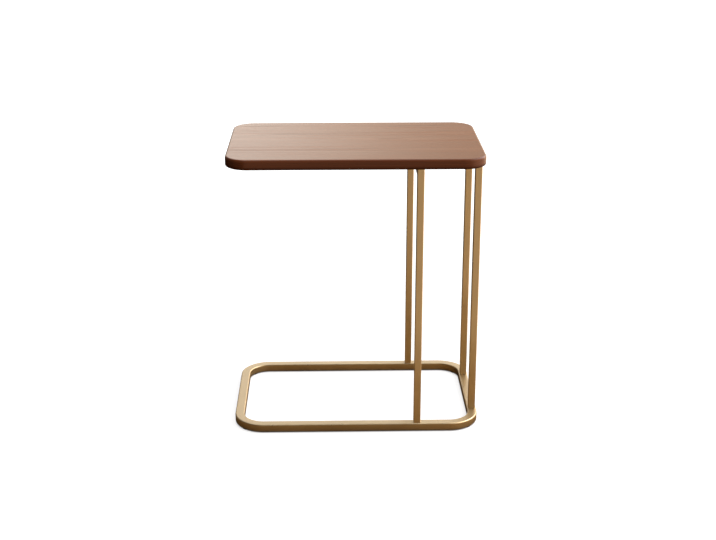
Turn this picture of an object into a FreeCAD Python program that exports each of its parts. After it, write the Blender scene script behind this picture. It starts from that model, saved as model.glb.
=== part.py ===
import FreeCAD, Part
import math
import os

import Sketcher
from FreeCAD import Vector

# A C-shaped side table: a wooden top on two tube frames that stand on a bent tube loop.
# Millimetres. The origin is on the floor under the middle of the tabletop, with +Z up, +X towards the
# closed side, where the uprights are, and +Y towards the rear.

# Every driving dimension of the table, with what it measures.
SIZES = [
    ("table_height", 566, "floor to the top of the tabletop"),
    ("top_length", 500, "tabletop, along X"),
    ("top_depth", 325, "tabletop, along Y"),
    ("top_thickness", 20, "tabletop board"),
    ("top_corner", 44, "radius of the tabletop's four corners, seen from above"),
    ("top_upper_round", 4, "radius along the tabletop's upper edge"),
    ("top_lower_round", 4, "radius along the tabletop's lower edge"),
    ("base_length", 497.5, "base loop outside, along X"),
    ("base_depth", 324, "base loop outside, along Y"),
    ("base_right_inset", 0.5, "base loop's right face, in from the tabletop's right edge"),
    ("base_corner", 61, "outside radius of the base loop's bends"),
    ("rail_width", 19, "base tube, across"),
    ("rail_height", 16, "base tube, upright"),
    ("rail_wall", 1.2, "base tube wall"),
    ("rail_round", 2.5, "radius along the base tube's outside edges"),
    ("rail_bore_round", 1.3, "radius along the base tube's inside edges"),
    ("leg_width", 14, "square tube of the uprights and top bars"),
    ("leg_wall", 1.2, "wall of that tube"),
    ("leg_round", 1.5, "radius along that tube's outside edges"),
    ("leg_bore_round", 0.5, "radius along that tube's inside edges"),
    ("pair_spacing", 117.5, "left pair of uprights to right pair, along X"),
    ("right_spread", 174, "right front upright to right rear upright, along Y"),
    ("pad_margin", 2, "base tube's edge to a floor pad's rim"),
    ("pad_thickness", 2, "floor pad"),
    ("pad_round", 0.6, "radius along a floor pad's lower rim"),
    ("bolt_thread", 6, "base bolt"),
    ("bolt_head", 10.5, "base bolt's head, across"),
    ("bolt_head_height", 3.3, "base bolt's head"),
    ("bolt_head_round", 2.2, "radius round the top of that head"),
    ("bolt_socket", 4, "hexagon socket of the base bolt, across its flats"),
    ("bolt_socket_depth", 2, "that socket"),
    ("bolt_reach", 14, "base bolt's thread inside the nut plug"),
    ("bolt_play", 0.3, "gap between a bolt or screw and the hole that it passes"),
    ("washer_width", 11, "base washer, across"),
    ("washer_thickness", 1.6, "base washer"),
    ("washer_play", 0.4, "gap between the washer and the hole that it goes in by"),
    ("plug_length", 18, "nut plug"),
    ("plug_play", 0.1, "gap between a nut plug and the tube around it"),
    ("plug_round", 1, "radius of the nut plug's upright edges"),
    ("plug_chamfer", 0.8, "nut plug's upper edges"),
    ("thread_play", 0.1, "gap that stands for the thread between a screw and its nut"),
    ("screw_thread", 5, "tabletop screw"),
    ("screw_head", 9.5, "tabletop screw's head, across"),
    ("screw_head_height", 2.8, "tabletop screw's head"),
    ("screw_head_round", 1.8, "radius round the top of that head"),
    ("screw_socket", 3, "hexagon socket of the tabletop screw, across its flats"),
    ("screw_socket_depth", 1.7, "that socket"),
    ("screw_reach", 9, "tabletop screw's thread inside the tabletop"),
    ("screw_inset", 40, "upright's middle to the tabletop screw beside it, along the bar"),
    ("tip_chamfer", 0.6, "tips of the bolts and screws"),
    ("insert_width", 8, "threaded insert, across"),
    ("insert_length", 11, "threaded insert"),
    ("insert_room", 1, "empty hole beyond the threaded insert"),
]

# Heights of the seats, and places of the uprights, as expressions on the sheet.
RAIL_TOP = "(Sizes.pad_thickness + Sizes.rail_height)"
TOP_SEAT = "(Sizes.table_height - Sizes.top_thickness)"
LEG_LENGTH = f"({TOP_SEAT} - {RAIL_TOP})"
LEG_BORE = "(Sizes.leg_width - 2 * Sizes.leg_wall)"
BASE_MIDDLE = "(Sizes.top_length / 2 - Sizes.base_right_inset - Sizes.base_length / 2)"
RIGHT_X = "(Sizes.top_length / 2 - Sizes.base_right_inset - Sizes.rail_width / 2)"
LEFT_X = f"({RIGHT_X} - Sizes.pair_spacing)"
LEFT_SPREAD = "(Sizes.base_depth - Sizes.rail_width)"
RIGHT_SPREAD = "Sizes.right_spread"

# The line that the middle of the base tube follows: its bends' radius, and half its length and depth.
BEND_LINE = "(Sizes.base_corner - Sizes.rail_width / 2)"
HALF_LENGTH = "(Sizes.base_length / 2 - Sizes.rail_width / 2)"
HALF_DEPTH = "(Sizes.base_depth / 2 - Sizes.rail_width / 2)"

# The two pairs of uprights, each with its X and its spread along Y, and the table's two sides.
PAIRS = {"left": (LEFT_X, LEFT_SPREAD), "right": (RIGHT_X, RIGHT_SPREAD)}
SIDES = {"front": -1, "rear": 1}

# Two heights closer than this are the same height.
TOUCH = 1e-6

doc = FreeCAD.newDocument("side_table")
sheet = doc.addObject("Spreadsheet::Sheet", "Sizes")
for row, (alias, number, meaning) in enumerate(SIZES, start=1):
    sheet.set(f"A{row}", str(number))
    sheet.setAlias(f"A{row}", alias)
    sheet.set(f"B{row}", meaning)
doc.recompute()

nodes = []


def value(expression):
    """The number that an expression on the sheet gives."""
    return float(sheet.evalExpression(expression))


def new_body(label, x="0", y="0", z="0", turn=0):
    """An empty body at a place given by expressions, turned about Z by degrees."""
    body = doc.addObject("PartDesign::Body", label)
    body.Label = label
    body.Placement.Rotation = FreeCAD.Rotation(Vector(0, 0, 1), turn)
    for axis, expression in zip("xyz", (x, y, z)):
        body.setExpression(f"Placement.Base.{axis}", expression)
    return body


def new_sketch(body, plane, name):
    """A sketch on one of the body's own origin planes."""
    planes = {feature.Role: feature for feature in body.Origin.OriginFeatures}
    sketch = body.newObject("Sketcher::SketchObject", f"{body.Name}_{name}")
    sketch.AttachmentSupport = [(planes[plane], "")]
    sketch.MapMode = "FlatFace"
    return sketch


def drive(sketch, kind, where, expression):
    """A dimension of the sketch that follows an expression."""
    index = sketch.addConstraint(Sketcher.Constraint(kind, *where, value(expression)))
    sketch.setExpression(f"Constraints[{index}]", expression)


def pin_point(sketch, geometry, point, x, y):
    """Places one point of a sketch element by two expressions."""
    drive(sketch, "DistanceX", (-1, 1, geometry, point), x)
    drive(sketch, "DistanceY", (-1, 1, geometry, point), y)


def rounded_rectangle(sketch, width, depth, radius, middle_x="0", middle_y="0"):
    """A closed rectangle with arcs at its corners, all sizes given as expressions."""
    right = value(f"{middle_x} + {width} / 2")
    left = value(f"{middle_x} - {width} / 2")
    top = value(f"{middle_y} + {depth} / 2")
    bottom = value(f"{middle_y} - {depth} / 2")
    r = value(radius)
    centres = ((right - r, top - r), (left + r, top - r), (left + r, bottom + r), (right - r, bottom + r))
    runs = (
        (Vector(right - r, top), Vector(left + r, top)),
        (Vector(left, top - r), Vector(left, bottom + r)),
        (Vector(left + r, bottom), Vector(right - r, bottom)),
        (Vector(right, bottom + r), Vector(right, top - r)),
    )
    arcs = []
    lines = []
    for quarter, ((x, y), (start, end)) in enumerate(zip(centres, runs)):
        whole = Part.Circle(Vector(x, y), Vector(0, 0, 1), r)
        first = quarter * math.pi / 2
        arcs.append(sketch.addGeometry(Part.ArcOfCircle(whole, first, first + math.pi / 2)))
        lines.append(sketch.addGeometry(Part.LineSegment(start, end)))
    for quarter in range(4):
        following = arcs[(quarter + 1) % 4]
        sketch.addConstraint(Sketcher.Constraint("Tangent", arcs[quarter], 2, lines[quarter], 1))
        sketch.addConstraint(Sketcher.Constraint("Tangent", lines[quarter], 2, following, 1))
    for quarter, direction in enumerate(("Horizontal", "Vertical", "Horizontal", "Vertical")):
        sketch.addConstraint(Sketcher.Constraint(direction, lines[quarter]))
    half_x = f"({width} / 2 - {radius})"
    half_y = f"({depth} / 2 - {radius})"
    pin_point(sketch, arcs[0], 3, f"{middle_x} + {half_x}", f"{middle_y} + {half_y}")
    pin_point(sketch, arcs[2], 3, f"{middle_x} - {half_x}", f"{middle_y} - {half_y}")
    drive(sketch, "Radius", (arcs[0],), radius)
    return arcs, lines


def circle(sketch, width, x="0", y="0"):
    """A circle of that width, centred at two expressions."""
    middle = Vector(value(x), value(y))
    index = sketch.addGeometry(Part.Circle(middle, Vector(0, 0, 1), value(width) / 2))
    pin_point(sketch, index, 3, x, y)
    drive(sketch, "Diameter", (index,), width)


def polygon(sketch, corners):
    """A closed outline of straight lines through corners given as pairs of expressions."""
    points = [Vector(value(x), value(y)) for x, y in corners]
    lines = []
    for start, end in zip(points, points[1:] + points[:1]):
        lines.append(sketch.addGeometry(Part.LineSegment(start, end)))
    for line, following in zip(lines, lines[1:] + lines[:1]):
        sketch.addConstraint(Sketcher.Constraint("Coincident", line, 2, following, 1))
    for line, (x, y) in zip(lines, corners):
        pin_point(sketch, line, 1, x, y)


def pad(body, sketch, length, midplane=False):
    """Raises a sketch into a solid."""
    feature = body.newObject("PartDesign::Pad", f"{sketch.Name}_pad")
    feature.Profile = sketch
    feature.Midplane = midplane
    feature.setExpression("Length", length)
    doc.recompute()
    return feature


def pocket(body, sketch, length=None, upwards=False, midplane=False):
    """Cuts a sketch out of the body, right through where no length is given, and proves that it cut."""
    before = body.Tip.Shape.Volume
    feature = body.newObject("PartDesign::Pocket", f"{sketch.Name}_pocket")
    feature.Profile = sketch
    feature.Midplane = midplane
    feature.Reversed = upwards
    if length is None:
        feature.Type = "ThroughAll"
    else:
        feature.setExpression("Length", length)
    doc.recompute()
    if feature.Shape.Volume >= before:
        raise RuntimeError(f"{feature.Name} cuts nothing")
    return feature


def edges_where(feature, test):
    """Names of the feature's edges that pass a test."""
    return [f"Edge{n}" for n, edge in enumerate(feature.Shape.Edges, start=1) if test(edge)]


def at_height(height):
    """A test for edges that lie flat at one height."""
    def test(edge):
        box = edge.BoundBox
        return abs(box.ZMin - height) < TOUCH and abs(box.ZMax - height) < TOUCH
    return test


def round_edges(body, feature, name, radius, test):
    """Rounds the edges that pass a test."""
    fillet = body.newObject("PartDesign::Fillet", f"{body.Name}_{name}")
    fillet.Base = (feature, edges_where(feature, test))
    fillet.setExpression("Radius", radius)
    doc.recompute()
    return fillet


def chamfer_edges(body, feature, name, size, test):
    """Chamfers the edges that pass a test."""
    chamfer = body.newObject("PartDesign::Chamfer", f"{body.Name}_{name}")
    chamfer.Base = (feature, edges_where(feature, test))
    chamfer.setExpression("Size", size)
    doc.recompute()
    return chamfer


def square_tube_profile(sketch):
    """The section of the uprights and top bars: an outside square and the bore inside it."""
    rounded_rectangle(sketch, "Sizes.leg_width", "Sizes.leg_width", "Sizes.leg_round")
    rounded_rectangle(sketch, LEG_BORE, LEG_BORE, "Sizes.leg_bore_round")


def upright_places():
    """Name, X and Y of each upright, and the side of the table it stands on."""
    for pair, (x, spread) in PAIRS.items():
        for side, sign in SIDES.items():
            yield f"{pair}_{side}", x, f"({sign} * {spread} / 2)", sign


def screw_places():
    """X and Y of each tabletop screw."""
    for x, spread in PAIRS.values():
        for sign in SIDES.values():
            yield x, f"({sign} * ({spread} / 2 - Sizes.screw_inset))"


def group(label, body, places, z):
    """One node of separate copies of a body, at places given by expressions."""
    copies = []
    for number, (x, y) in enumerate(places, start=1):
        copy = doc.addObject("App::Link", f"{label}_{number}")
        copy.LinkedObject = body
        copy.LinkTransform = False
        for axis, expression in zip("xyz", (x, y, z)):
            copy.setExpression(f"Placement.Base.{axis}", expression)
        copies.append(copy)
    bundle = doc.addObject("Part::Compound", label)
    bundle.Label = label
    bundle.Links = copies
    nodes.append(bundle)


def make_floor_pads():
    """A round pad under the middle of each of the loop's bends."""
    bend_reach = f"{BEND_LINE} * cos(45 deg)"
    reach_x = f"({HALF_LENGTH} - {BEND_LINE} + {bend_reach})"
    reach_y = f"({HALF_DEPTH} - {BEND_LINE} + {bend_reach})"
    for pair, sign_x in (("left", -1), ("right", 1)):
        for side, sign_y in SIDES.items():
            place_x = f"{BASE_MIDDLE} + {sign_x} * {reach_x}"
            body = new_body(f"{pair}_{side}_floor_pad", place_x, f"{sign_y} * {reach_y}")
            sketch = new_sketch(body, "XY_Plane", "rim")
            circle(sketch, "Sizes.rail_width - 2 * Sizes.pad_margin")
            disc = pad(body, sketch, "Sizes.pad_thickness")
            round_edges(body, disc, "rim_round", "Sizes.pad_round", at_height(0))
            nodes.append(body)


def make_base_loop():
    """One rectangular tube bent four times, with its two ends welded at the middle of the rear rail."""
    body = new_body("base_loop", BASE_MIDDLE, "0", "Sizes.pad_thickness + Sizes.rail_height / 2")
    path = new_sketch(body, "XY_Plane", "bend_line")
    arcs, lines = rounded_rectangle(path, f"(2 * {HALF_LENGTH})", f"(2 * {HALF_DEPTH})", BEND_LINE)
    bore_width = "(Sizes.rail_width - 2 * Sizes.rail_wall)"
    bore_height = "(Sizes.rail_height - 2 * Sizes.rail_wall)"
    tubes = (
        ("PartDesign::AdditivePipe", "outside", "Sizes.rail_width", "Sizes.rail_height", "Sizes.rail_round"),
        ("PartDesign::SubtractivePipe", "bore", bore_width, bore_height, "Sizes.rail_bore_round"),
    )
    for kind, name, width, height, radius in tubes:
        section = new_sketch(body, "YZ_Plane", name)
        rounded_rectangle(section, width, height, radius, middle_x=HALF_DEPTH)
        sweep = body.newObject(kind, f"base_loop_{name}_sweep")
        sweep.Profile = section
        sweep.Spine = (path, [f"Edge{n + 1}" for n in range(len(arcs) + len(lines))])
        doc.recompute()
    clearance_hole = "(Sizes.bolt_thread + 2 * Sizes.bolt_play)"
    access_hole = "(max(Sizes.washer_width; Sizes.bolt_head) + 2 * Sizes.washer_play)"
    for name, width, upwards in (("bolt_holes", clearance_hole, True), ("access_holes", access_hole, False)):
        sketch = new_sketch(body, "XY_Plane", name)
        for _, x, y, _ in upright_places():
            circle(sketch, width, f"{x} - {BASE_MIDDLE}", y)
        pocket(body, sketch, upwards=upwards)
    nodes.append(body)


def make_uprights():
    """Four square tubes on the loop, cut at 45 degrees at the top to meet their bar."""
    for place, x, y, sign in upright_places():
        body = new_body(f"{place}_upright", x, y, RAIL_TOP, turn=0 if sign < 0 else 180)
        section = new_sketch(body, "XY_Plane", "section")
        square_tube_profile(section)
        pad(body, section, LEG_LENGTH)
        half = "(Sizes.leg_width / 2)"
        low = f"({LEG_LENGTH} - Sizes.leg_width)"
        mitre = new_sketch(body, "YZ_Plane", "mitre")
        polygon(mitre, ((f"-{half}", LEG_LENGTH), (half, low), (half, LEG_LENGTH)))
        pocket(body, mitre, midplane=True)
        nodes.append(body)


def make_top_bars():
    """A square tube across each pair of uprights, with mitred ends, bored for the tabletop screws."""
    half = "(Sizes.leg_width / 2)"
    for pair, (x, spread) in PAIRS.items():
        body = new_body(f"{pair}_top_bar", x, "0", f"{TOP_SEAT} - Sizes.leg_width / 2")
        section = new_sketch(body, "XZ_Plane", "section")
        square_tube_profile(section)
        pad(body, section, f"{spread} + Sizes.leg_width", midplane=True)
        mitres = new_sketch(body, "YZ_Plane", "mitres")
        for sign in SIDES.values():
            outer = f"({sign} * ({spread} / 2 + {half}))"
            inner = f"({sign} * ({spread} / 2 - {half}))"
            polygon(mitres, ((outer, half), (outer, f"-{half}"), (inner, f"-{half}")))
        pocket(body, mitres, midplane=True)
        holes = new_sketch(body, "XY_Plane", "screw_holes")
        for sign in SIDES.values():
            along = f"({sign} * ({spread} / 2 - Sizes.screw_inset))"
            circle(holes, "(Sizes.screw_thread + 2 * Sizes.bolt_play)", "0", along)
        pocket(body, holes, midplane=True)
        nodes.append(body)


def make_nut_plugs():
    """A tapped steel block welded into the lower end of each upright."""
    width = f"({LEG_BORE} - 2 * Sizes.plug_play)"
    at_upper_end = at_height(value("Sizes.plug_length"))

    def upper_outline(edge):
        return at_upper_end(edge) and not edge.isClosed()

    for place, x, y, _ in upright_places():
        body = new_body(f"{place}_nut_plug", x, y, RAIL_TOP)
        section = new_sketch(body, "XY_Plane", "section")
        rounded_rectangle(section, width, width, "Sizes.plug_round")
        circle(section, "(Sizes.bolt_thread + 2 * Sizes.thread_play)")
        block = pad(body, section, "Sizes.plug_length")
        chamfer_edges(body, block, "lead_in", "Sizes.plug_chamfer", upper_outline)
        nodes.append(body)


def socket_screw(name, size, shank):
    """A domed screw with a hexagon socket; its head's bearing face is at Z 0 and its shank points up."""
    head_height = f"Sizes.{size}_head_height"
    head_radius = f"(Sizes.{size}_head / 2)"
    thread_radius = f"(Sizes.{size}_thread / 2)"
    body = new_body(name)
    profile = new_sketch(body, "XZ_Plane", "profile")
    polygon(profile, (
        ("0", shank),
        ("0", f"-{head_height}"),
        (head_radius, f"-{head_height}"),
        (head_radius, "0"),
        (thread_radius, "0"),
        (thread_radius, shank),
    ))
    turned = body.newObject("PartDesign::Revolution", f"{name}_turned")
    turned.Profile = profile
    turned.ReferenceAxis = (profile, ["V_Axis"])
    doc.recompute()
    domed = round_edges(body, turned, "dome", f"Sizes.{size}_head_round", at_height(-value(head_height)))
    chamfer_edges(body, domed, "tip", "Sizes.tip_chamfer", at_height(value(shank)))
    hexagon = new_sketch(body, "XY_Plane", "socket")
    across_corners = f"(Sizes.{size}_socket / cos(30 deg))"
    corners = []
    for turn in range(0, 360, 60):
        corners.append((f"{across_corners} / 2 * cos({turn} deg)", f"{across_corners} / 2 * sin({turn} deg)"))
    polygon(hexagon, corners)
    hexagon.setExpression("AttachmentOffset.Base.z", f"-{head_height}")
    pocket(body, hexagon, f"Sizes.{size}_socket_depth", upwards=True)
    return body


def ring(name, width, bore, thickness):
    """A flat ring or a bushing, standing on Z 0."""
    body = new_body(name)
    sketch = new_sketch(body, "XY_Plane", "ring")
    circle(sketch, width)
    circle(sketch, bore)
    pad(body, sketch, thickness)
    return body


def make_base_fasteners():
    """A bolt and washer inside the loop under each upright, screwed up into its nut plug."""
    shank = "(Sizes.washer_thickness + Sizes.rail_wall + Sizes.bolt_reach)"
    bolt = socket_screw("base_bolt", "bolt", shank)
    washer = ring("base_washer", "Sizes.washer_width", "(Sizes.bolt_thread + 2 * Sizes.bolt_play)",
                  "Sizes.washer_thickness")
    places = [(x, y) for _, x, y, _ in upright_places()]
    under_rail_top = f"{RAIL_TOP} - Sizes.rail_wall - Sizes.washer_thickness"
    group("base_bolts", bolt, places, under_rail_top)
    group("base_washers", washer, places, under_rail_top)


def make_tabletop():
    """One wooden board with rounded corners, eased edges and blind holes for the inserts."""
    body = new_body("tabletop", "0", "0", TOP_SEAT)
    outline = new_sketch(body, "XY_Plane", "outline")
    rounded_rectangle(outline, "Sizes.top_length", "Sizes.top_depth", "Sizes.top_corner")
    board = pad(body, outline, "Sizes.top_thickness")
    upper_face = at_height(value("Sizes.top_thickness"))
    upper = round_edges(body, board, "upper_round", "Sizes.top_upper_round", upper_face)
    round_edges(body, upper, "lower_round", "Sizes.top_lower_round", at_height(0))
    holes = new_sketch(body, "XY_Plane", "insert_holes")
    for x, y in screw_places():
        circle(holes, "(Sizes.insert_width + 2 * Sizes.thread_play)", x, y)
    pocket(body, holes, "Sizes.insert_length + Sizes.insert_room", upwards=True)
    nodes.append(body)


def make_tabletop_fasteners():
    """Threaded inserts in the tabletop, and the screws that go up through the bars into them."""
    insert = ring("tabletop_insert", "Sizes.insert_width", "(Sizes.screw_thread + 2 * Sizes.thread_play)",
                  "Sizes.insert_length")
    screw = socket_screw("tabletop_screw", "screw", "(Sizes.leg_width + Sizes.screw_reach)")
    group("tabletop_inserts", insert, list(screw_places()), TOP_SEAT)
    group("tabletop_screws", screw, list(screw_places()), f"{TOP_SEAT} - Sizes.leg_width")


def check_and_export():
    """Stops on any failed object or bad shape, then writes one file for each node."""
    doc.recompute()
    for item in doc.Objects:
        if "Invalid" in item.State or "Error" in item.State:
            raise RuntimeError(f"{item.Name} failed: {item.State}")
    for node in nodes:
        if node.Shape.isNull() or not node.Shape.isValid():
            raise RuntimeError(f"{node.Label} has no valid shape")
    os.makedirs("parts", exist_ok=True)
    for node in nodes:
        node.Shape.exportStep(f"parts/{node.Label}.step")
        print(f"{node.Label}: {len(node.Shape.Solids)} solids, {node.Shape.Volume:.0f} mm3")


make_floor_pads()
make_base_loop()
make_uprights()
make_top_bars()
make_nut_plugs()
make_base_fasteners()
make_tabletop()
make_tabletop_fasteners()
check_and_export()
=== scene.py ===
import math

import bmesh
import bpy
from mathutils import Matrix, Vector


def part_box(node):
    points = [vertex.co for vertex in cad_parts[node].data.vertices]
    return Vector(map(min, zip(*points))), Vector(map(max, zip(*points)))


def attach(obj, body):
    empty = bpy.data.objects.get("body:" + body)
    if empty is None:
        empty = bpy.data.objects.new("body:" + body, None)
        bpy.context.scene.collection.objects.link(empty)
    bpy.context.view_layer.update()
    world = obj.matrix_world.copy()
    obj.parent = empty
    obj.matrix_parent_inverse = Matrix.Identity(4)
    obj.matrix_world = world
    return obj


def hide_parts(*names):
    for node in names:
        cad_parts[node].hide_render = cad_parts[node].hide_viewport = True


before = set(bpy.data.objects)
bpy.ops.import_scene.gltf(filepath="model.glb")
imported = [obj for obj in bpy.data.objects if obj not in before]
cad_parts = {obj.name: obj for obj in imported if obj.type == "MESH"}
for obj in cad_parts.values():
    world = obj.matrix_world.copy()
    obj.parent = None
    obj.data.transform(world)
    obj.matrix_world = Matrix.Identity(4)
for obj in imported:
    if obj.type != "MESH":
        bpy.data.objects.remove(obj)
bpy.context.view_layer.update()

# Floor pads
# Four small discs under the bends of the floor loop keep the metal off the floor.
# They are moulded in black rubber and stuck on, with a matt skin that holds a little dust.


class Wire:
    """One socket of a node tree. Sums of wires and numbers add Math nodes, and node() adds any other node."""

    def __init__(self, tree, socket=None):
        self.tree = tree
        self.socket = socket

    def node(self, kind, settings=None, sockets=None, out=0):
        """Adds a node, sets its settings and then its sockets, and gives one of its outputs."""
        made = self.tree.nodes.new(kind)
        for name, value in (settings or {}).items():
            setattr(made, name, value)
        for name, value in (sockets or {}).items():
            for one in value if isinstance(value, list) else [value]:
                if isinstance(one, Wire):
                    self.tree.links.new(one.socket, made.inputs[name])
                else:
                    made.inputs[name].default_value = one
        return Wire(self.tree, made.outputs[out])

    def split(self):
        """The X, Y and Z of a vector, each as a wire."""
        parts = self.node("ShaderNodeSeparateXYZ", {}, {0: self}).socket.node.outputs
        return [Wire(self.tree, part) for part in parts]

    def sum(self, operation, first, second):
        """Adds one Math node."""
        return self.node("ShaderNodeMath", {"operation": operation}, {0: first, 1: second})

    def __add__(self, other):
        return self.sum("ADD", self, other)

    def __radd__(self, other):
        return self.sum("ADD", other, self)

    def __sub__(self, other):
        return self.sum("SUBTRACT", self, other)

    def __rsub__(self, other):
        return self.sum("SUBTRACT", other, self)

    def __mul__(self, other):
        return self.sum("MULTIPLY", self, other)

    def __rmul__(self, other):
        return self.sum("MULTIPLY", other, self)

    def __truediv__(self, other):
        return self.sum("DIVIDE", self, other)

    def __pow__(self, other):
        return self.sum("POWER", self, other)


def fade(value, low, high):
    """0 below low and 1 above high, with a soft start and end."""
    settings = {"interpolation_type": "SMOOTHSTEP"}
    return value.node("ShaderNodeMapRange", settings, {0: value, 1: low, 2: high, 3: 0.0, 4: 1.0})


def mixed(share, first, second):
    """The first colour where share is 0, the second where it is 1."""
    settings = {"data_type": "RGBA"}
    first, second = ((*c, 1.0) if isinstance(c, tuple) else c for c in (first, second))
    return share.node("ShaderNodeMix", settings, {0: share, 6: first, 7: second}, out=2)


def noise(place, scale, detail=2.0, roughness=0.5):
    """Cloudy noise from 0 to 1, with scale blobs in a metre."""
    sockets = {"Vector": place, "Scale": scale, "Detail": detail, "Roughness": roughness}
    return place.node("ShaderNodeTexNoise", {}, sockets)


def stretched(place, along_x, along_y, along_z):
    """Object coordinates scaled by a number of blobs in a metre along each axis."""
    sockets = {0: place, 1: (along_x, along_y, along_z)}
    return place.node("ShaderNodeVectorMath", {"operation": "MULTIPLY"}, sockets)


def bump(height, strength, depth):
    """A normal that stands up by depth metres where height is 1."""
    return height.node("ShaderNodeBump", {}, {"Strength": strength, "Distance": depth, "Height": height})


def new_finish(name, constants, paint):
    """A material whose shader takes constants as they are, and what paint() returns as links."""
    material = bpy.data.materials.new(name)
    material.use_nodes = True
    shader = material.node_tree.nodes["Principled BSDF"]
    for socket, value in constants.items():
        shader.inputs[socket].default_value = value
    place = Wire(material.node_tree).node("ShaderNodeTexCoord", out="Object")
    for socket, wire in paint(place).items():
        material.node_tree.links.new(wire.socket, shader.inputs[socket])
    return material


def finish_nodes(names, material):
    """Gives CAD nodes that stay as they are a finish of this file."""
    for name in names:
        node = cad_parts[name]
        node.data.materials.clear()
        node.data.materials.append(material)


SIDES = [(side, end) for side in ("left", "right") for end in ("front", "rear")]
PADS = [f"{side}_{end}_floor_pad" for side, end in SIDES]


def paint_rubber(place):
    skin = noise(place, 900.0, 3.0)
    dust = fade(noise(place, 160.0, 4.0), 0.45, 0.75)
    return {
        "Base Color": mixed(dust * 0.6, (0.022, 0.021, 0.02), (0.075, 0.07, 0.063)),
        "Roughness": 0.66 + 0.2 * dust,
        "Normal": bump(skin, 0.5, 0.00006),
    }


finish_nodes(PADS, new_finish("pad_rubber", {"Specular IOR Level": 0.35}, paint_rubber))

# Floor loop
# One rectangular steel tube, bent at four corners and butt welded in the middle of its rear rail, then coated
# in satin gold. Its underside has a hole below each upright, through which a key reaches the bolt.

BASE_LOW, BASE_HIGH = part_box("base_loop")
RAIL_WIDTH = 0.019
RAIL_WALL = 0.0012
RAIL_ROUND = 0.0025
BASE_CORNER = 0.061
KEY_HOLE = 0.0118
BOLT_HOLE = 0.0066
GOLD_DEEP = (0.67, 0.49, 0.255)
GOLD_WARM = (0.77, 0.57, 0.305)
GOLD_PALE = (0.92, 0.76, 0.5)


def paint_gold(place):
    clouds = noise(place, 9.0, 3.0)
    peel = noise(place, 420.0, 2.0)
    flake = noise(place, 3200.0, 1.0)
    edge = place.node("ShaderNodeAttribute", {"attribute_name": "edge"}, out="Fac")
    rubbed = edge * fade(noise(place, 55.0, 4.0), 0.35, 0.7)
    tone = mixed(fade(clouds, 0.3, 0.7), GOLD_DEEP, GOLD_WARM)
    return {
        "Base Color": mixed(rubbed * 0.45 + 0.12 * fade(flake, 0.5, 0.8), tone, GOLD_PALE),
        "Roughness": 0.34 + 0.08 * fade(clouds, 0.35, 0.7) - 0.08 * rubbed,
        "Normal": bump(peel * 0.75 + flake * 0.25, 0.35, 0.00005),
    }


clear_coat = {"Metallic": 0.85, "Coat Weight": 1.0, "Coat Roughness": 0.22, "Coat IOR": 1.5}
gold_coat = new_finish("gold_coat", clear_coat, paint_gold)


def shape_tree(name, inputs, build):
    """A Geometry Nodes tree with named inputs. build() makes the shape from wires of those inputs."""
    tree = bpy.data.node_groups.new(name, "GeometryNodeTree")
    face = tree.interface
    face.new_socket("Points", in_out="INPUT", socket_type="NodeSocketGeometry")
    face.new_socket("Shape", in_out="OUTPUT", socket_type="NodeSocketGeometry")
    for label, kind in inputs.items():
        face.new_socket(label, in_out="INPUT", socket_type=kind)
    face.new_socket("Finish", in_out="INPUT", socket_type="NodeSocketMaterial")
    start = tree.nodes.new("NodeGroupInput")
    wires = {socket.name: Wire(tree, socket) for socket in start.outputs if socket.name}
    shape = build(Wire(tree), wires)
    solid = shape.node("GeometryNodeRealizeInstances", {}, {"Geometry": shape})
    smooth = shape.node("GeometryNodeSetShadeSmooth", {}, {"Geometry": solid})
    painted = shape.node("GeometryNodeSetMaterial", {}, {"Geometry": smooth, "Material": wires["Finish"]})
    end = tree.nodes.new("NodeGroupOutput")
    tree.links.new(painted.socket, end.inputs["Shape"])
    return tree


def plain_mesh(piece):
    """Turns what an object's modifiers make into its own mesh and removes them."""
    depsgraph = bpy.context.evaluated_depsgraph_get()
    mesh = bpy.data.meshes.new_from_object(piece.evaluated_get(depsgraph), depsgraph=depsgraph)
    piece.modifiers.clear()
    piece.data = mesh
    mesh.name = piece.name
    return piece


def even_shading(piece, crease=math.radians(40)):
    """Keeps edges over the crease angle sharp and lets broad faces set the shading of the small ones."""
    piece.data.shade_smooth()
    piece.data.set_sharp_from_angle(angle=crease)
    weighted = piece.modifiers.new("weighted", "WEIGHTED_NORMAL")
    weighted.keep_sharp = True
    weighted.weight = 100
    return plain_mesh(piece)


def shaped(name, tree, values, points=()):
    """A piece made by a tree, as a plain mesh at the origin."""
    seed = bpy.data.meshes.new(name)
    seed.from_pydata([tuple(p) for p in points], [], [])
    piece = bpy.data.objects.new(name, seed)
    bpy.context.scene.collection.objects.link(piece)
    modifier = piece.modifiers.new("shape", "NODES")
    modifier.node_group = tree
    for item in tree.interface.items_tree:
        if item.in_out == "INPUT" and item.name in values:
            modifier[item.identifier] = values[item.name]
    return even_shading(plain_mesh(piece))


def carry(piece, slot, *nodes):
    """The piece moves with the table and stands for CAD nodes, if any are named. The slot is not used."""
    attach(piece, "root")
    if nodes:
        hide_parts(*nodes)


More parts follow.
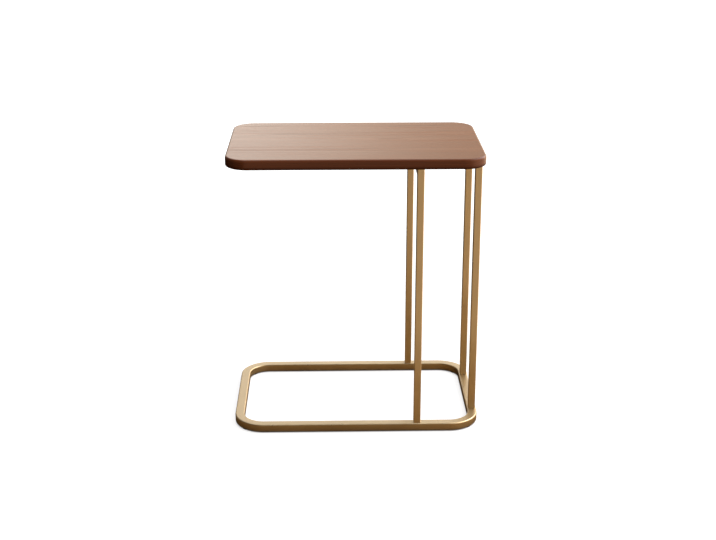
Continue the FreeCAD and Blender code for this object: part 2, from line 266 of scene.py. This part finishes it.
def rounded_section(start, width, height, radius, steps):
    """A rectangle curve with round corners, whose round stretches carry 1 in the edge attribute."""
    box = start.node("GeometryNodeCurvePrimitiveQuadrilateral", {}, {"Width": width, "Height": height})
    sockets = {"Curve": box, "Count": steps, "Radius": radius, "Limit Radius": False}
    curve = start.node("GeometryNodeFilletCurve", {"mode": "POLY"}, sockets)
    across, upward, _ = start.node("GeometryNodeInputPosition").split()
    deep_x = start.sum("ABSOLUTE", across, 0.0) - (width * 0.5 - radius * 0.95)
    deep_y = start.sum("ABSOLUTE", upward, 0.0) - (height * 0.5 - radius * 0.95)
    on_arc = start.sum("GREATER_THAN", start.sum("MINIMUM", deep_x, deep_y), 0.0)
    sockets = {"Geometry": curve, "Name": "edge", "Value": on_arc}
    return start.node("GeometryNodeStoreNamedAttribute", {"data_type": "FLOAT", "domain": "POINT"}, sockets)


def swept(start, path, section, scale=1.0):
    """The surface that a section leaves along a path."""
    sockets = {"Curve": path, "Profile Curve": section, "Scale": scale}
    return start.node("GeometryNodeCurveToMesh", {}, sockets)


def drilled(start, solid, points, radius, low, high):
    """Cuts a round hole from height low to high at each point."""
    sockets = {"Vertices": 48, "Radius": radius, "Depth": high - low}
    drill = start.node("GeometryNodeMeshCylinder", {}, sockets, out="Mesh")
    middle = start.node("ShaderNodeCombineXYZ", {}, {2: (low + high) * 0.5})
    raised = start.node("GeometryNodeTransform", {}, {"Geometry": drill, "Translation": middle})
    drills = start.node("GeometryNodeInstanceOnPoints", {}, {"Points": points, "Instance": raised})
    tools = start.node("GeometryNodeRealizeInstances", {}, {"Geometry": drills})
    settings = {"operation": "DIFFERENCE", "solver": "EXACT"}
    return start.node("GeometryNodeMeshBoolean", settings, {"Mesh 1": solid, "Mesh 2": tools})


def build_floor_loop(start, size):
    """A tube bent round a rectangle, with a key hole below and a bolt hole above at each point."""
    width = size["Rail width"]
    wall = size["Wall"]
    sockets = {"Width": size["Length"] - width, "Height": size["Depth"] - width}
    box = start.node("GeometryNodeCurvePrimitiveQuadrilateral", {}, sockets)
    bend = size["Corner"] - width * 0.5
    sockets = {"Curve": box, "Count": 40, "Radius": bend, "Limit Radius": False}
    path = start.node("GeometryNodeFilletCurve", {"mode": "POLY"}, sockets)
    level = start.node("GeometryNodeSetCurveNormal", {"mode": "Z_UP"}, {"Curve": path})
    outside = rounded_section(start, width, size["Rail height"], size["Round"], steps=7)
    bore_width = width - 2.0 * wall
    bore_height = size["Rail height"] - 2.0 * wall
    inside = rounded_section(start, bore_width, bore_height, size["Round"] - wall, steps=4)
    bore = start.node("GeometryNodeFlipFaces", {}, {"Mesh": swept(start, level, inside)})
    tube = start.node("GeometryNodeJoinGeometry", {}, {"Geometry": [swept(start, level, outside), bore]})
    laid = start.node("GeometryNodeTransform", {}, {"Geometry": tube, "Translation": size["Middle"]})
    low = size["Low"]
    high = low + size["Rail height"]
    past_wall = 3.0 * wall
    keyed = drilled(start, laid, size["Points"], size["Key hole"] * 0.5, low - wall, low + past_wall)
    return drilled(start, keyed, size["Points"], size["Bolt hole"] * 0.5, high - past_wall, high + wall)


LENGTH = "NodeSocketFloat"
PLACE = "NodeSocketVector"
floor_loop_tree = shape_tree("floor_loop_tube", {
    "Length": LENGTH, "Depth": LENGTH, "Corner": LENGTH, "Rail width": LENGTH, "Rail height": LENGTH,
    "Round": LENGTH, "Wall": LENGTH, "Key hole": LENGTH, "Bolt hole": LENGTH, "Low": LENGTH,
    "Middle": PLACE,
}, build_floor_loop)
upright_feet = []
for side, end in SIDES:
    low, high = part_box(f"{side}_{end}_nut_plug")
    upright_feet.append(Vector(((low.x + high.x) / 2, (low.y + high.y) / 2, 0.0)))
floor_loop = shaped("floor_loop", floor_loop_tree, {
    "Length": BASE_HIGH.x - BASE_LOW.x, "Depth": BASE_HIGH.y - BASE_LOW.y, "Corner": BASE_CORNER,
    "Rail width": RAIL_WIDTH, "Rail height": BASE_HIGH.z - BASE_LOW.z, "Round": RAIL_ROUND, "Wall": RAIL_WALL,
    "Key hole": KEY_HOLE, "Bolt hole": BOLT_HOLE, "Low": BASE_LOW.z,
    "Middle": (BASE_LOW + BASE_HIGH) / 2, "Finish": gold_coat,
}, upright_feet)
carry(floor_loop, "gold_coat", "base_loop")


def build_butt_weld(start, size):
    """A ring sunk into the rail until only a low crown shows, which ripples where the weld was ground."""
    sink = size["Height"] * 0.75
    width = size["Rail width"] - 2.0 * sink
    height = size["Rail height"] - 2.0 * sink
    section = rounded_section(start, width, height, size["Round"] - sink, steps=7)
    fine = start.node("GeometryNodeResampleCurve", {"mode": "LENGTH"}, {"Curve": section, "Length": 0.0004})
    level = start.node("GeometryNodeSetCurveNormal", {"mode": "Z_UP"}, {"Curve": fine})
    sockets = {"Resolution": 20, "Radius": 1.0}
    circle = start.node("GeometryNodeCurvePrimitiveCircle", {"mode": "RADIUS"}, sockets)
    flat = start.node("ShaderNodeCombineXYZ", {}, {0: size["Height"], 1: size["Width"] * 0.5, 2: 1.0})
    bead = start.node("GeometryNodeTransform", {}, {"Geometry": circle, "Scale": flat})
    ring = swept(start, level, bead)
    spot = start.node("GeometryNodeInputPosition")
    grain = start.node("ShaderNodeTexNoise", {}, {"Vector": spot, "Scale": 420.0, "Detail": 3.0}) - 0.5
    outward = start.node("GeometryNodeInputNormal")
    sockets = {0: outward, "Scale": grain * size["Ripple"]}
    ripple = start.node("ShaderNodeVectorMath", {"operation": "SCALE"}, sockets)
    ground = start.node("GeometryNodeSetPosition", {}, {"Geometry": ring, "Offset": ripple})
    quarter_turn = math.radians(90.0)
    return start.node("GeometryNodeTransform", {}, {
        "Geometry": ground, "Rotation": (quarter_turn, 0.0, quarter_turn), "Translation": size["Middle"]})


butt_weld_tree = shape_tree("butt_weld_ring", {
    "Rail width": LENGTH, "Rail height": LENGTH, "Round": LENGTH, "Width": LENGTH, "Height": LENGTH,
    "Ripple": LENGTH, "Middle": PLACE,
}, build_butt_weld)
rail_middle = (BASE_LOW + BASE_HIGH) / 2
rail_middle.y = BASE_HIGH.y - RAIL_WIDTH / 2
butt_weld = shaped("rear_rail_weld", butt_weld_tree, {
    "Rail width": RAIL_WIDTH, "Rail height": BASE_HIGH.z - BASE_LOW.z, "Round": RAIL_ROUND, "Width": 0.005,
    "Height": 0.0004, "Ripple": 0.0002, "Middle": rail_middle, "Finish": gold_coat,
})
carry(butt_weld, "gold_coat")

# Nut plugs
# A short square steel block with a tapped hole, welded inside the lower end of each upright.
# Zinc plated, with the cloudy blue and straw tints that plating leaves.


def paint_zinc(place):
    clouds = noise(place, 120.0, 4.0)
    scratch = noise(stretched(place, 3000.0, 3000.0, 160.0), 1.0, 2.0)
    return {
        "Base Color": mixed(fade(clouds, 0.3, 0.7), (0.50, 0.52, 0.54), (0.66, 0.63, 0.56)),
        "Roughness": 0.26 + 0.22 * clouds,
        "Normal": bump(scratch, 0.25, 0.00003),
    }


zinc_plate = new_finish("zinc_plate", {"Metallic": 1.0}, paint_zinc)
finish_nodes([f"{side}_{end}_nut_plug" for side, end in SIDES], zinc_plate)

# Uprights and top bars
# Each pair of square steel tubes is cut at 45 degrees and welded to a bar that lies under the tabletop, then
# coated like the loop. The seams are ground flush outside, and a rippled bead stays in each inner corner.

TUBE_WALL = 0.0012
TUBE_ROUND = 0.0015
SEAM = 0.00025
SCREW_HOLE = 0.0056
SCREW_INSET = 0.040
DRILL_PAST = 0.001


def build_mitred_tube(start, size):
    """A tube along Z from 0 to its length, cut at 45 degrees where a mitre is 1, then turned and moved.
    Its end edges are eased by the seam, so that a fine groove shows where it meets the next tube."""
    half = size["Tube"] * 0.5
    outside = rounded_section(start, size["Tube"], size["Tube"], size["Round"], steps=6)
    bore = size["Tube"] - 2.0 * size["Wall"]
    inside = rounded_section(start, bore, bore, size["Round"] - size["Wall"], steps=3)
    far = start.node("ShaderNodeCombineXYZ", {}, {2: size["Length"]})
    line = start.node("GeometryNodeCurvePrimitiveLine", {}, {"Start": (0.0, 0.0, 0.0), "End": far})
    rings = start.node("GeometryNodeResampleCurve", {"mode": "COUNT"}, {"Curve": line, "Count": 4})
    index = start.node("GeometryNodeInputIndex")
    upper_pair = start.sum("GREATER_THAN", index, 1.5)
    height = upper_pair * (size["Length"] - size["Seam"]) + start.sum("MODULO", index, 2.0) * size["Seam"]
    level = start.node("ShaderNodeCombineXYZ", {}, {2: height})
    spaced = start.node("GeometryNodeSetPosition", {}, {"Geometry": rings, "Position": level})
    last = start.sum("GREATER_THAN", start.sum("ABSOLUTE", index - 1.5, 0.0), 1.0)
    ease = 2.0 * size["Seam"] / size["Tube"]
    skin = swept(start, spaced, outside, 1.0 - last * ease)
    lining = start.node("GeometryNodeFlipFaces", {}, {"Mesh": swept(start, line, inside)})
    tip = start.node("ShaderNodeCombineXYZ", {}, {0: 1.0 - ease, 1: 1.0 - ease, 2: 1.0})
    edge = start.node("GeometryNodeTransform", {}, {"Geometry": outside, "Scale": tip})
    rim = start.node("GeometryNodeFillCurve", {"mode": "NGONS"},
                     {"Curve": start.node("GeometryNodeJoinGeometry", {}, {"Geometry": [edge, inside]})})
    foot = start.node("GeometryNodeFlipFaces", {}, {"Mesh": rim})
    head = start.node("GeometryNodeTransform", {}, {"Geometry": rim, "Translation": far})
    parts = start.node("GeometryNodeJoinGeometry", {}, {"Geometry": [skin, lining, foot, head]})
    tube = start.node("GeometryNodeMergeByDistance", {}, {"Geometry": parts, "Distance": 0.00001})
    _, across, along = start.node("GeometryNodeInputPosition").split()
    inward = across + half
    at_end = start.sum("GREATER_THAN", along, size["Length"] * 0.5)
    cut = (1.0 - at_end) * size["Start mitre"] - at_end * size["End mitre"]
    slope = start.node("ShaderNodeCombineXYZ", {}, {2: inward * cut})
    cut_tube = start.node("GeometryNodeSetPosition", {}, {"Geometry": tube, "Offset": slope})
    turn = start.node("FunctionNodeAxesToRotation", {"primary_axis": "Z", "secondary_axis": "Y"},
                      {0: size["Direction"], 1: size["Inward"]})
    return start.node("GeometryNodeTransform", {},
                      {"Geometry": cut_tube, "Translation": size["Start"], "Rotation": turn})


def build_top_bar(start, size):
    """A tube with both ends mitred and a hole through it for each screw."""
    tube = build_mitred_tube(start, size)
    low = size["Low"] - DRILL_PAST
    high = size["Low"] + size["Tube"] + DRILL_PAST
    return drilled(start, tube, size["Points"], size["Hole"] * 0.5, low, high)


TUBE_INPUTS = {
    "Tube": LENGTH, "Length": LENGTH, "Round": LENGTH, "Wall": LENGTH, "Seam": LENGTH, "Start mitre": LENGTH,
    "End mitre": LENGTH, "Start": PLACE, "Direction": PLACE, "Inward": PLACE,
}
mitred_tube_tree = shape_tree("mitred_tube", TUBE_INPUTS, build_mitred_tube)
top_bar_tree = shape_tree("drilled_top_bar", {**TUBE_INPUTS, "Hole": LENGTH, "Low": LENGTH}, build_top_bar)

for side, end in SIDES:
    node = f"{side}_{end}_upright"
    low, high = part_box(node)
    inward = Vector((0.0, 1.0 if end == "front" else -1.0, 0.0))
    upright = shaped(f"{node}_tube", mitred_tube_tree, {
        "Tube": high.x - low.x, "Length": high.z - low.z, "Round": TUBE_ROUND, "Wall": TUBE_WALL,
        "Seam": SEAM, "Start mitre": 0.0, "End mitre": 1.0, "Finish": gold_coat,
        "Start": Vector(((low.x + high.x) / 2, (low.y + high.y) / 2, low.z)),
        "Direction": Vector((0.0, 0.0, 1.0)), "Inward": inward,
    })
    carry(upright, "gold_coat", node)

screw_places = [Vector((foot.x, foot.y - math.copysign(SCREW_INSET, foot.y), 0.0)) for foot in upright_feet]
for side in ("left", "right"):
    node = f"{side}_top_bar"
    low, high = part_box(node)
    bar = shaped(f"{node}_tube", top_bar_tree, {
        "Tube": high.x - low.x, "Length": high.y - low.y, "Round": TUBE_ROUND, "Wall": TUBE_WALL,
        "Seam": SEAM, "Start mitre": 1.0, "End mitre": 1.0, "Finish": gold_coat,
        "Start": Vector(((low.x + high.x) / 2, low.y, (low.z + high.z) / 2)),
        "Direction": Vector((0.0, 1.0, 0.0)), "Inward": Vector((0.0, 0.0, -1.0)),
        "Hole": SCREW_HOLE, "Low": low.z,
    }, [place for place in screw_places if low.x < place.x < high.x])
    carry(bar, "gold_coat", node)


def build_weld_beads(start, size):
    """At each point a row of overlapping drops along X, as a weld leaves them that is laid in one pass."""
    first = start.node("ShaderNodeCombineXYZ", {}, {0: (size["Drops"] - 1.0) * size["Step"] * -0.5})
    step = start.node("ShaderNodeCombineXYZ", {}, {0: size["Step"]})
    sockets = {"Count": size["Drops"], "Start Location": first, "Offset": step}
    row = start.node("GeometryNodeMeshLine", {}, sockets)
    rows = start.node("GeometryNodeInstanceOnPoints", {}, {"Points": size["Points"], "Instance": row})
    places = start.node("GeometryNodeRealizeInstances", {}, {"Geometry": rows})
    drop = start.node("GeometryNodeMeshUVSphere", {}, {"Segments": 20, "Rings": 12, "Radius": size["Radius"]})
    spread = {0: (0.75, 0.86, 0.86), 1: (0.95, 1.12, 1.12), "Seed": 5}
    size_of_drop = start.node("FunctionNodeRandomValue", {"data_type": "FLOAT_VECTOR"}, spread)
    return start.node("GeometryNodeInstanceOnPoints", {},
                      {"Points": places, "Instance": drop, "Scale": size_of_drop})


weld_bead_tree = shape_tree("weld_bead_rows", {
    "Drops": "NodeSocketInt", "Step": LENGTH, "Radius": LENGTH,
}, build_weld_beads)
inner_corners = []
for side, end in SIDES:
    low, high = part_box(f"{side}_{end}_upright")
    bar_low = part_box(f"{side}_top_bar")[0]
    inner_corners.append(Vector(((low.x + high.x) / 2, high.y if end == "front" else low.y, bar_low.z)))
weld_beads = shaped("inner_corner_welds", weld_bead_tree, {
    "Drops": 9, "Step": 0.00122, "Radius": 0.0016, "Finish": gold_coat,
}, inner_corners)
carry(weld_beads, "gold_coat")

# Base bolts and washers
# Button head bolts with a hexagon socket go up through the loop into the nut plugs, each with a washer.
# The bolts are blackened steel with an oily sheen, and the washers are zinc plated.


def paint_black_steel(place):
    clouds = noise(place, 260.0, 4.0)
    specks = fade(noise(place, 2200.0, 2.0), 0.62, 0.72)
    return {
        "Base Color": mixed(specks * 0.5, (0.018, 0.018, 0.02), (0.16, 0.155, 0.15)),
        "Roughness": 0.34 + 0.2 * clouds,
        "Normal": bump(clouds, 0.2, 0.00002),
    }


black_steel = new_finish("black_steel", {"Metallic": 0.75}, paint_black_steel)
finish_nodes(["base_bolts"], black_steel)
finish_nodes(["base_washers"], zinc_plate)

# Tabletop
# One board, edge glued from five staves with their grain along the length, stained walnut and lacquered.
# Its edges are eased above and below, and four blind holes in its underside take the inserts.

TOP_LOW, TOP_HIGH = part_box("tabletop")
TOP_CORNER = 0.044
UPPER_ROUND = 0.004
LOWER_ROUND = 0.004
INSERT_HOLE = 0.0082
INSERT_DEPTH = 0.012
HOLE_STEPS = 32
STAIN_DARK = (0.08, 0.019, 0.0065)
STAIN_MIDDLE = (0.145, 0.037, 0.0115)
STAIN_LIGHT = (0.265, 0.079, 0.0265)
# Painted shade: the colour that the edge band darkens to towards the underside.
PAINTED_SHADE_BELOW = (0.045, 0.009, 0.003)
STAVE = 0.065
HEART_HEIGHT = 0.52
HEART_SPREAD = 0.075
HEART_BACK = 0.03
RING_WIDTH = 0.0028
# Heights above the underside over which the painted shade on the lower round and on the edge band fades out.
LOWER_SHADE = (0.0015, 0.009)
FLANK_SHADE = (0.0135, 0.0185)


def paint_walnut(place):
    _, across, height = place.split()
    stave = place.sum("FLOOR", (across - TOP_LOW.y) / STAVE, 0.0)
    luck = place.node("ShaderNodeTexWhiteNoise", {"noise_dimensions": "1D"}, {"W": stave + 3.5})
    wander = noise(stretched(place, 1.6, 7.0, 7.0), 1.0, 3.0) - 0.5
    shiver = noise(stretched(place, 9.0, 60.0, 60.0), 1.0, 2.0) - 0.5
    heart_y = across - TOP_LOW.y - stave * STAVE - HEART_SPREAD * luck + HEART_BACK
    heart_z = height - HEART_HEIGHT
    rings = (heart_y * heart_y + heart_z * heart_z) ** 0.5 + 0.016 * wander + 0.0016 * shiver
    ring = place.sum("FRACT", rings / RING_WIDTH, 0.0)
    late = fade(ring, 0.35, 0.92) * (1.0 - fade(ring, 0.93, 1.0))
    streak = noise(stretched(place, 2.2, 85.0, 85.0), 1.0, 4.0, 0.6)
    fibre = noise(stretched(place, 14.0, 900.0, 900.0), 1.0, 3.0, 0.6)
    pore = fade(noise(stretched(place, 110.0, 2800.0, 2800.0), 1.0, 1.0), 0.66, 0.74)
    arris = place.node("ShaderNodeAttribute", {"attribute_name": "arris"}, out="Fac")
    light = fade(streak, 0.25, 0.75) * 0.55 + fibre * 0.35 + luck * 0.10
    body = mixed(light, STAIN_MIDDLE, STAIN_LIGHT)
    ringed = mixed(late * 0.38 + pore * 0.3, body, STAIN_DARK)
    # Painted shade: the edge band darkens towards the underside, most on the lower round, and the lacquer
    # coat is thinned there too, which dims its reflection.
    below = 1.0 - fade(height - TOP_LOW.z, *LOWER_SHADE)
    painted_flank_shade = 1.0 - fade(height - TOP_LOW.z, *FLANK_SHADE)
    worn = 0.3 * pore + 0.16 * late + 0.25 * fade(streak, 0.45, 0.75)
    stained = mixed(arris * 0.18, ringed, STAIN_DARK)
    return {
        "Base Color": mixed(painted_flank_shade * 0.3 + below * 0.55, stained, PAINTED_SHADE_BELOW),
        "Roughness": 0.42 + 0.14 * fibre,
        "Coat Weight": (1.0 - worn) * (1.0 - 0.7 * below),
        "Normal": bump(fibre * 0.5 + late * 0.3 - pore * 0.6, 0.12, 0.00006),
    }


lacquer = {"Coat Roughness": 0.1, "Coat IOR": 1.32, "Specular IOR Level": 0.02}
walnut = new_finish("walnut_lacquer", lacquer, paint_walnut)


def rounded_outline(inset, steps=24):
    """The board's outline drawn in by inset, anticlockwise from the right rear corner."""
    radius = TOP_CORNER - inset
    points = []
    for index, (x, y) in enumerate(((1, 1), (-1, 1), (-1, -1), (1, -1))):
        centre_x = x * (TOP_HIGH.x - TOP_CORNER)
        centre_y = y * (TOP_HIGH.y - TOP_CORNER)
        for step in range(steps + 1):
            angle = math.radians(90.0 * (index + step / steps))
            points.append((centre_x + radius * math.cos(angle), centre_y + radius * math.sin(angle)))
    return points


def edge_rings(steps=8):
    """Inset, height and arris share of each ring, from the underside's border up to the top's border."""
    angles = [math.radians(90.0 * step / steps) for step in range(steps + 1)]
    rings = []
    for angle in angles:
        inset = LOWER_ROUND * (1 - math.sin(angle))
        height = TOP_LOW.z + LOWER_ROUND * (1 - math.cos(angle))
        rings.append((inset, height, math.sin(2.0 * angle)))
    for angle in angles:
        inset = UPPER_ROUND * (1 - math.cos(angle))
        height = TOP_HIGH.z - UPPER_ROUND * (1 - math.sin(angle))
        rings.append((inset, height, math.sin(2.0 * angle)))
    return rings


def board_mesh(name):
    """The board as rings of its outline, closed above and filled around the insert holes below."""
    shape = bmesh.new()
    arris = shape.verts.layers.float.new("arris")
    loops = []
    for inset, height, share in edge_rings():
        loop = [shape.verts.new((x, y, height)) for x, y in rounded_outline(inset)]
        for vertex in loop:
            vertex[arris] = share
        loops.append(loop)
    for below, above in zip(loops, loops[1:]):
        for here in range(len(below)):
            there = (here + 1) % len(below)
            shape.faces.new((below[here], below[there], above[there], above[here]))
    shape.faces.new(loops[-1])
    border = [shape.edges.get((a, b)) for a, b in zip(loops[0], loops[0][1:] + loops[0][:1])]
    around = [math.tau * step / HOLE_STEPS for step in range(HOLE_STEPS)]
    radius = INSERT_HOLE / 2
    for place in screw_places:
        rim = [(place.x + radius * math.cos(a), place.y + radius * math.sin(a)) for a in around]
        mouth = [shape.verts.new((x, y, TOP_LOW.z)) for x, y in rim]
        floor = [shape.verts.new((x, y, TOP_LOW.z + INSERT_DEPTH)) for x, y in rim]
        for here in range(len(rim)):
            there = (here + 1) % len(rim)
            wall = shape.faces.new((mouth[here], mouth[there], floor[there], floor[here]))
            border.append(shape.edges.get((wall.verts[0], wall.verts[1])))
        shape.faces.new(floor)
    bmesh.ops.triangle_fill(shape, edges=border, use_beauty=True)
    bmesh.ops.recalc_face_normals(shape, faces=shape.faces)
    mesh = bpy.data.meshes.new(name)
    shape.to_mesh(mesh)
    shape.free()
    return mesh


board = bpy.data.objects.new("tabletop_board", board_mesh("tabletop_board"))
bpy.context.scene.collection.objects.link(board)
board.data.materials.append(walnut)
even_shading(board)
carry(board, "walnut", "tabletop")

# Tabletop inserts
# Four threaded steel sleeves are pressed into the board's blind holes to take the screws.
# They are zinc plated like the nut plugs.

finish_nodes(["tabletop_inserts"], zinc_plate)

# Tabletop screws
# Four button head screws go up through the bars into the inserts and pull the board down on the bars.
# They are blackened like the base bolts.

finish_nodes(["tabletop_screws"], black_steel)

# Studio
# A pale sweep that only the camera sees, glowing white with a painted contact shadow under the rails, and a
# brown card of painted floor shade, darkest along the rails, that only shows in the light and the finishes.
# The light is a soft room with a window and a doorway behind, a lamp on the right and a weak one overhead.


def lathe(name, outline, segments):
    """A surface turned about Z from a list of radius and height."""
    shape = bmesh.new()
    rings = []
    for radius, height in outline:
        angles = [math.tau * step / segments for step in range(segments)]
        rings.append([shape.verts.new((radius * math.cos(a), radius * math.sin(a), height)) for a in angles])
    for inner, outer in zip(rings, rings[1:]):
        for here in range(segments):
            there = (here + 1) % segments
            shape.faces.new((inner[here], outer[here], outer[there], inner[there]))
    shape.faces.new(rings[0])
    mesh = bpy.data.meshes.new(name)
    shape.to_mesh(mesh)
    shape.free()
    mesh.shade_smooth()
    return mesh


def stage_piece(name, mesh, material, seen_by_camera):
    """A piece of the stage that only the camera sees, or only the light on the table."""
    piece = bpy.data.objects.new(name, mesh)
    bpy.context.scene.collection.objects.link(piece)
    mesh.materials.append(material)
    piece.visible_camera = seen_by_camera
    piece.visible_diffuse = not seen_by_camera
    piece.visible_glossy = not seen_by_camera
    piece.visible_shadow = False


SWEEP_FLOOR = 7.0
SWEEP_BEND = 2.5
SWEEP_TOP = 7.0
SWEEP_DOME = 3.0
SWEEP_RADIUS = SWEEP_FLOOR + SWEEP_BEND
CARD_REACH = 0.55
CARD_HEIGHT = -0.001
quarter = [math.radians(10.0 * step) for step in range(10)]
sweep_outline = [(0.4, 0.0), (1.5, 0.0), (3.0, 0.0)]
sweep_outline += [(SWEEP_FLOOR + SWEEP_BEND * math.sin(a), SWEEP_BEND * (1 - math.cos(a))) for a in quarter]
sweep_outline += [(SWEEP_RADIUS * math.cos(a), SWEEP_TOP + SWEEP_DOME * math.sin(a)) for a in quarter[:-1]]
sweep_outline.append((0.05, SWEEP_TOP + SWEEP_DOME))


def from_rail(place):
    """The distance of a floor point from the middle line of the loop's rails."""
    parts = place.split()
    bend = BASE_CORNER - RAIL_WIDTH / 2
    middle = (BASE_LOW + BASE_HIGH) / 2
    reach = (BASE_HIGH - BASE_LOW) / 2
    past = []
    for axis in range(2):
        off = place.sum("ABSOLUTE", parts[axis] - middle[axis], 0.0)
        past.append(place.sum("MAXIMUM", off - (reach[axis] - BASE_CORNER), 0.0))
    return place.sum("ABSOLUTE", (past[0] * past[0] + past[1] * past[1]) ** 0.5 - bend, 0.0)


def paint_paper(place):
    reach = place.node("ShaderNodeVectorMath", {"operation": "LENGTH"}, {0: place}, out="Value")
    lit = mixed(fade(reach, 0.45, 1.5), (0.82, 0.82, 0.82), (1.05, 1.05, 1.05))
    # Painted contact shadow: the glow drops almost to black under and just beside the rails.
    clear = fade(from_rail(place), 0.004, 0.0112)
    return {"Emission Color": mixed(clear, (0.05, 0.045, 0.04), lit)}


matt = {"Roughness": 1.0, "Specular IOR Level": 0.0}
glowing = {**matt, "Base Color": (0.45, 0.45, 0.45, 1.0), "Emission Strength": 1.0}
paper = new_finish("pale_paper", glowing, paint_paper)
stage_piece("paper_sweep", lathe("paper_sweep", sweep_outline, segments=128), paper, seen_by_camera=True)


def paint_card(place):
    # Painted shade: the card is nearly black along the rails and brown further out, so the metal near its
    # foot reflects and takes light from a shadowed floor.
    clear = fade(from_rail(place), 0.008, 0.05)
    return {"Base Color": mixed(clear, (0.072, 0.037, 0.013), (0.27, 0.158, 0.06))}


shade_card = new_finish("shade_card", matt, paint_card)
card_outline = [(0.05, CARD_HEIGHT), (CARD_REACH, CARD_HEIGHT)]
stage_piece("shade_card", lathe("shade_card", card_outline, segments=64), shade_card, seen_by_camera=False)

# Each part of the room is a share of the directions, and its number is how bright it is.
world = bpy.data.worlds.new("soft_room")
bpy.context.scene.world = world
world.use_nodes = True
toward = Wire(world.node_tree).node("ShaderNodeTexCoord", out="Generated")
sideways, behind, upward = toward.split()
rear = fade(behind, -0.2, 0.5)
low_sky = 1.0 - fade(upward, 0.26, 0.34)
window = (1.0 - fade(sideways, -0.10, 0.14)) * fade(sideways, -0.26, -0.12)
window = window * fade(behind, 0.5, 0.9) * low_sky
doorway = fade(sideways, 0.14, 0.3) * fade(behind, 0.4, 0.8)
ceiling = fade(upward, 0.5, 0.85) * fade(behind, -0.7, -0.2)
high_wall = (1.0 - low_sky) * (0.2 - 0.12 * fade(sideways, -0.15, 0.15))
back = 0.7 - high_wall + 1.25 * window + 0.7 * doorway
upper = 0.14 + rear * (1.0 - ceiling) * back + ceiling + 1.3 * fade(sideways, 0.28, 0.7)
under = fade(0.0 - upward, 0.42, 0.7)
floor_behind = 0.5 * rear * (1.0 - 0.6 * fade(sideways, -0.05, 0.4))
lower = 0.58 - floor_behind + 0.9 * doorway + 1.1 * fade(sideways, 0.5, 0.9)
lower = lower * (1.0 - 0.75 * under)
above = fade(upward, -0.08, 0.12)
left_wall = 1.0 - 0.8 * fade(0.0 - sideways, 0.1, 0.5)
sky = world.node_tree.nodes["Background"]
glow = left_wall * (above * upper + (1.0 - above) * lower)
world.node_tree.links.new(glow.socket, sky.inputs["Strength"])
wall_tint = mixed(window, (1.0, 0.81, 0.6), (1.0, 0.93, 0.82))
upper_tint = mixed(low_sky, (0.97, 0.98, 1.0), wall_tint)
tint = mixed(above, (1.0, 0.78, 0.56), upper_tint)
world.node_tree.links.new(tint.socket, sky.inputs["Color"])


def lamp(name, kind, place, aim, power, **settings):
    """A lamp at a place, turned to its aim, which the camera doesn't see."""
    light = bpy.data.lights.new(name, kind)
    light.energy = power
    for key, value in settings.items():
        setattr(light, key, value)
    holder = bpy.data.objects.new(name, light)
    bpy.context.scene.collection.objects.link(holder)
    facing = (Vector(aim) - Vector(place)).to_track_quat("-Z", "Y")
    holder.matrix_world = Matrix.Translation(place) @ facing.to_matrix().to_4x4()
    holder.visible_camera = False
    return holder


TOP_MIDDLE = (0.0, 0.0, TOP_HIGH.z)
lamp("key", "AREA", place=(0.95, 0.25, 1.15), aim=TOP_MIDDLE, power=7.5, shape="DISK", size=1.3)
fill = lamp("overhead", "SUN", place=(0.3, 0.2, 2.6), aim=TOP_MIDDLE, power=0.15, angle=math.radians(40.0))
fill.visible_glossy = False

# Camera
# A long lens in front of the table, a little above it, with the photo's framing.

FRAME_WIDTH = 716.0
FOCAL_PIXELS = 1269.24
CAMERA_PLACE = Vector((-0.04816, -2.47982, 1.15267))
YAW, PITCH = math.radians(1.268), math.radians(19.156)
ahead = Vector((math.sin(YAW) * math.cos(PITCH), math.cos(YAW) * math.cos(PITCH), -math.sin(PITCH)))
right = Vector((math.cos(YAW), -math.sin(YAW), 0.0))
lens = bpy.data.cameras.new("camera")
lens.sensor_width = 36.0
lens.sensor_fit = "HORIZONTAL"
lens.lens = FOCAL_PIXELS / FRAME_WIDTH * lens.sensor_width
camera = bpy.data.objects.new("camera", lens)
bpy.context.scene.collection.objects.link(camera)
turned = Matrix((right, right.cross(ahead), -ahead)).transposed().to_4x4()
camera.matrix_world = Matrix.Translation(CAMERA_PLACE) @ turned
bpy.context.scene.camera = camera
bpy.context.scene.view_settings.view_transform = "Standard"
